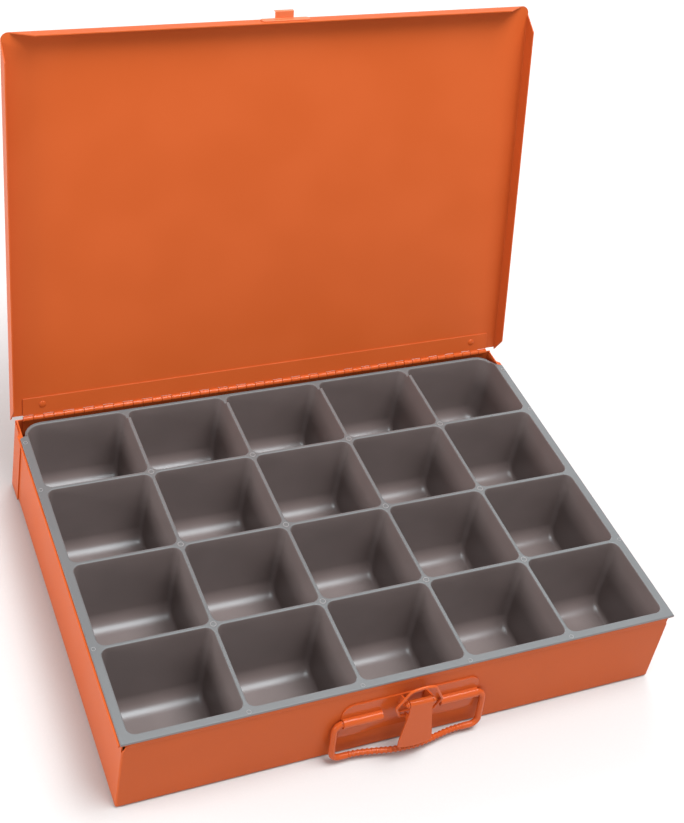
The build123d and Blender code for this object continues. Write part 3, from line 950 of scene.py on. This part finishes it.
def leaf_comb(name, along, inward, first):
    """A leaf's flat strip, with a tongue running up to each of its own knuckles."""
    bm = bmesh.new()
    starts = [(k - knuckle_count / 2) * knuckle_pitch for k in range(knuckle_count)]
    cuts = {round(x + knuckle_gap / 2, 7) for x in starts}
    cuts |= {round(x + knuckle_pitch - knuckle_gap / 2, 7) for x in starts}
    xs = sorted({-hinge_length / 2, hinge_length / 2} | cuts)

    def row(down):
        return [
            bm.verts.new(hinge_axis + Vector((x, 0.0, 0.0)) + along * down + inward * leaf_face)
            for x in xs
        ]

    top, low, high = row(0.0), row(leaf_start), row(leaf_width)
    for a in range(len(xs) - 1):
        bm.faces.new((low[a], low[a + 1], high[a + 1], high[a]))
        k = int(((xs[a] + xs[a + 1]) / 2 + hinge_length / 2) // knuckle_pitch)
        if xs[a + 1] - xs[a] > knuckle_pitch / 2 and (k - first) % 2 == 0:
            bm.faces.new((top[a], top[a + 1], low[a + 1], low[a]))
    bmesh.ops.delete(bm, geom=[v for v in top if not v.link_faces], context="VERTS")
    grown = bmesh.ops.extrude_face_region(bm, geom=list(bm.faces))
    moved = [item for item in grown["geom"] if isinstance(item, bmesh.types.BMVert)]
    bmesh.ops.translate(bm, verts=moved, vec=inward * leaf_thickness)
    bmesh.ops.recalc_face_normals(bm, faces=bm.faces)
    bmesh.ops.dissolve_limit(bm, angle_limit=radians(0.5), verts=bm.verts, edges=bm.edges)
    soften_edges(bm, leaf_edge, segments=1)
    mesh = bpy.data.meshes.new(name)
    bm.to_mesh(mesh)
    bm.free()
    smooth_shade(mesh, leaf_crease)
    return object_from(name, mesh, case_enamel)


def leaf_knuckles(name, first):
    seeds = [
        hinge_axis + Vector(((k + 0.5 - knuckle_count / 2) * knuckle_pitch, 0.0, 0.0))
        for k in range(first, knuckle_count, 2)
    ]
    return grown_piece(
        name, points_mesh(name + "_points", seeds), rolled_knuckles,
        {
            "Outer radius": barrel_radius, "Bore radius": barrel_bore,
            "Length": knuckle_pitch - knuckle_gap, "Edge round": knuckle_edge,
        },
        fitting_enamel,
    )


def rivet_tree():
    """Low domed heads at the seed points, facing along an axis tilted about X."""
    tree, start, end = growth_tree(
        "domed_rivets", {"Head radius": rivet_head, "Flatness": rivet_flatness, "Tilt": 0.0},
    )
    dome = add_node(tree, "GeometryNodeMeshUVSphere", {
        "Segments": 28, "Rings": 16, "Radius": start.outputs["Head radius"],
    })
    turn = add_node(tree, "ShaderNodeCombineXYZ", {"X": start.outputs["Tilt"]})
    size = add_node(
        tree, "ShaderNodeCombineXYZ", {"X": 1.0, "Y": 1.0, "Z": start.outputs["Flatness"]},
    )
    repeat_at(
        tree, start, end, dome.outputs["Mesh"], seed_points(tree, start),
        Rotation=turn.outputs[0], Scale=size.outputs[0],
    )
    return tree


domed_rivets = rivet_tree()


def leaf_rivets(name, along, inward, sheet):
    """Two rivets: a low dome on the leaf and one on the outside of the sheet."""
    seeds = [
        hinge_axis + Vector((x, 0.0, 0.0)) + along * rivet_drop + inward * face
        for x in (-rivet_side, rivet_side)
        for face in (leaf_face + leaf_thickness, leaf_face - sheet)
    ]
    return grown_piece(
        name, points_mesh(name + "_points", seeds), domed_rivets,
        {
            "Head radius": rivet_head, "Flatness": rivet_flatness,
            "Tilt": atan2(-inward.y, inward.z),
        },
        fitting_enamel,
    )


for body, along, inward, first in (
    ("base", base_down, base_inward, 0), ("lid", lid_along, lid_inward, 1),
):
    leaf = body + "_hinge_leaf"
    strip = leaf_comb(body + "_leaf_strip", along, inward, first)
    finish_piece(strip, body, "painted_steel", leaf)
    knuckles = leaf_knuckles(body + "_leaf_knuckles", first)
    finish_piece(knuckles, body, "painted_steel", leaf)
for body, along, inward, sheet in (
    ("base", base_down, base_inward, base_sheet), ("lid", lid_along, lid_inward, lid_sheet),
):
    rivets = leaf_rivets(body + "_rivets", along, inward, sheet)
    finish_piece(rivets, body, "painted_steel", body + "_leaf_rivets")


# ======================================================================
# Bail handle and latch loop
# ======================================================================
arm_side = 59.2 * mm
arm_drop = 32.5 * mm
arm_end = arm_side - 32.0 * mm
arm_bend = 6.5 * mm
bow_out = 5.8 * mm
bow_outer = 38.0 * mm
bow_inner = 9.0 * mm
grip_bend = 85.0 * mm


def bail_place(x, down, out=0.0):
    """A place on the bail, which hangs from its axis and leans out of the wall."""
    along = Vector((0.0, -sin(bail_tilt), -cos(bail_tilt)))
    away = Vector((0.0, -cos(bail_tilt), sin(bail_tilt)))
    return bail_axis + Vector((x, 0.0, 0.0)) + along * down + away * out


bail_corners = [
    bail_place(arm_end, 0.0), bail_place(arm_side, 0.0), bail_place(arm_side, arm_drop),
    bail_place(bow_outer, arm_drop), bail_place(bow_inner, arm_drop, bow_out),
    bail_place(-bow_inner, arm_drop, bow_out), bail_place(-bow_outer, arm_drop),
    bail_place(-arm_side, arm_drop), bail_place(-arm_side, 0.0), bail_place(-arm_end, 0.0),
]
bail_bends = [arm_bend] * 2 + [grip_bend] * 4 + [arm_bend] * 2
grip_half = 46.0 * mm
grip_radius = 1.95 * mm
grip_shoulder = 0.5 * mm
ridge_count = 27
ridge_margin = 1.2 * mm


def thinned_grip(path):
    """The path with points added at the grip's two shoulders, and a radius for each point."""
    low = bail_axis.z - arm_drop / 2
    spots = []
    for first, second in zip(path, path[1:]):
        spots.append(first)
        if max(first.z, second.z) > low or abs(second.x - first.x) < near:
            continue
        marks = [-grip_half - grip_shoulder, -grip_half, grip_half, grip_half + grip_shoulder]
        shares = sorted((m - first.x) / (second.x - first.x) for m in marks)
        spots += [first.lerp(second, share) for share in shares if 0.001 < share < 0.999]
    spots.append(path[-1])
    thin = [p.z < low and abs(p.x) < grip_half + near for p in spots]
    return spots, [grip_radius if t else wire_radius for t in thin]


bail_path, bail_radii = thinned_grip(bent_path(bail_corners, bail_bends))
bail_wire = wire_piece("bail_wire", bail_path, bail_radii, fitting_enamel)
finish_piece(bail_wire, "handle", "painted_steel", "bail_handle")


def ridge_tree():
    """Rolled ridges round the grip, evenly spaced along the seed line."""
    tree, start, end = growth_tree("grip_ridges", {
        "Ridges": 20, "Ridge radius": 2.4 * mm, "Ridge width": 1.8 * mm, "Ridge depth": 0.9 * mm,
    })
    depth = start.outputs["Ridge depth"]
    line = add_node(tree, "GeometryNodeMeshToCurve", {"Mesh": start.outputs["Geometry"]})
    spots = add_node(
        tree, "GeometryNodeCurveToPoints",
        {"Curve": line.outputs["Curve"], "Count": start.outputs["Ridges"]}, mode="COUNT",
    )
    half = maths(tree, "MULTIPLY", depth, 0.5)
    middle = maths(tree, "SUBTRACT", start.outputs["Ridge radius"], half)
    section = rounded_bar(
        tree, depth, start.outputs["Ridge width"], maths(tree, "MULTIPLY", half, 0.9),
    )
    repeat_at(
        tree, start, end, swept(tree, circle(tree, middle, round_sides), section),
        spots.outputs["Points"], Rotation=spots.outputs["Rotation"],
    )
    return tree


def shortened(first, second, length):
    """The first point, moved this far towards the second."""
    return first.lerp(second, length / (second - first).length)


grip_line = [p for p, radius in zip(bail_path, bail_radii) if radius == grip_radius]
grip_line[0] = shortened(grip_line[0], grip_line[1], ridge_margin)
grip_line[-1] = shortened(grip_line[-1], grip_line[-2], ridge_margin)
bail_ridges = grown_piece(
    "bail_ridges",
    points_mesh("grip_line", grip_line, [(k, k + 1) for k in range(len(grip_line) - 1)]),
    ridge_tree(), {"Ridges": ridge_count, "Ridge radius": wire_radius}, fitting_enamel,
)
finish_piece(bail_ridges, "handle", "painted_steel")

loop_wire_radius = 1.1 * mm


def loop_place(x, up):
    """A place on the loop, in millimetres from the middle of its pivot."""
    rise = Vector((0.0, -sin(loop_tilt), cos(loop_tilt)))
    return loop_pivot + Vector((x * mm, 0.0, 0.0)) + rise * up * mm


loop_half = [(7.4, 0.0), (13.4, 0.0), (18.0, 10.6), (9.5, 27.0)]
loop_corners = [loop_place(x, up) for x, up in loop_half]
loop_corners += [loop_place(0.0, 30.0)]
loop_corners += [loop_place(-x, up) for x, up in reversed(loop_half)]
loop_bends = [bend * mm for bend in (2.4, 3.0, 5.0, 26.0, 5.0, 3.0, 2.4)]
latch_path = bent_path(loop_corners, loop_bends)
latch_wire = wire_piece(
    "latch_wire", latch_path, [loop_wire_radius] * len(latch_path), fitting_enamel, sides=16,
)
finish_piece(latch_wire, "loop", "painted_steel", "latch_loop")


# The pin keeps its CAD shape and takes the enamel.
for material_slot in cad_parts["hinge_pin"].material_slots:
    material_slot.material = fitting_enamel


# ======================================================================
# Floor, light and camera
# ======================================================================
floor_half = 4.0
floor_gap = 0.6 * mm


def stage_floor():
    mesh = bpy.data.meshes.new("floor_paper")
    corners = ((-1, -1), (1, -1), (1, 1), (-1, 1))
    mesh.from_pydata(
        [(x * floor_half, y * floor_half, -floor_gap) for x, y in corners], [], [(0, 1, 2, 3)],
    )
    object_from("floor_paper", mesh, paper)


def soft_light(name, place, target, size, power):
    lamp = bpy.data.lights.new(name, "AREA")
    lamp.shape = "RECTANGLE"
    lamp.size, lamp.size_y = size
    lamp.energy = power
    holder = bpy.data.objects.new(name, lamp)
    bpy.context.scene.collection.objects.link(holder)
    away = (Vector(place) - Vector(target)).normalized()
    turned = away.to_track_quat("Z", "Y").to_matrix().to_4x4()
    holder.matrix_world = Matrix.Translation(place) @ turned


stage_floor()
soft_light(
    "key_softbox", place=(0.5, -0.45, 2.6), target=(0.0, 0.0, 0.05), size=(1.7, 1.35), power=83.0,
)
soft_light(
    "left_softbox", place=(-1.8, -0.05, 0.62), target=(-0.1, 0.0, 0.04), size=(1.2, 0.5),
    power=20.0,
)
soft_light(
    "back_softbox", place=(0.7, 2.3, 2.0), target=(0.5, 1.3, 0.0), size=(2.0, 1.0), power=45.0,
)

world = bpy.data.worlds.new("studio")
world.use_nodes = True
feed(world.node_tree, world.node_tree.nodes["Background"], {
    "Color": opaque((1.0, 1.0, 1.0)), "Strength": 0.42,
})
bpy.context.scene.world = world
bpy.context.scene.view_settings.view_transform = "Standard"

camera_data = bpy.data.cameras.new("bench_camera")
camera_data.lens = 68.3
camera_data.sensor_fit = "VERTICAL"
camera_data.sensor_height = 36.0
camera_data.sensor_width = 29.92
camera_data.shift_y = -0.21446
camera_data.clip_start = 0.05
camera = bpy.data.objects.new("bench_camera", camera_data)
bpy.context.scene.collection.objects.link(camera)
camera_right = Vector((0.9156056, -0.3707337, 0.1556372))
camera_up = Vector((0.1009625, 0.5866684, 0.8035091))
camera_back = Vector((-0.3891953, -0.7199839, 0.5745870))
turned = Matrix((camera_right, camera_up, camera_back)).transposed().to_4x4()
camera.matrix_world = Matrix.Translation((-0.44739, -0.75063, 0.94686)) @ turned
bpy.context.scene.camera = camera
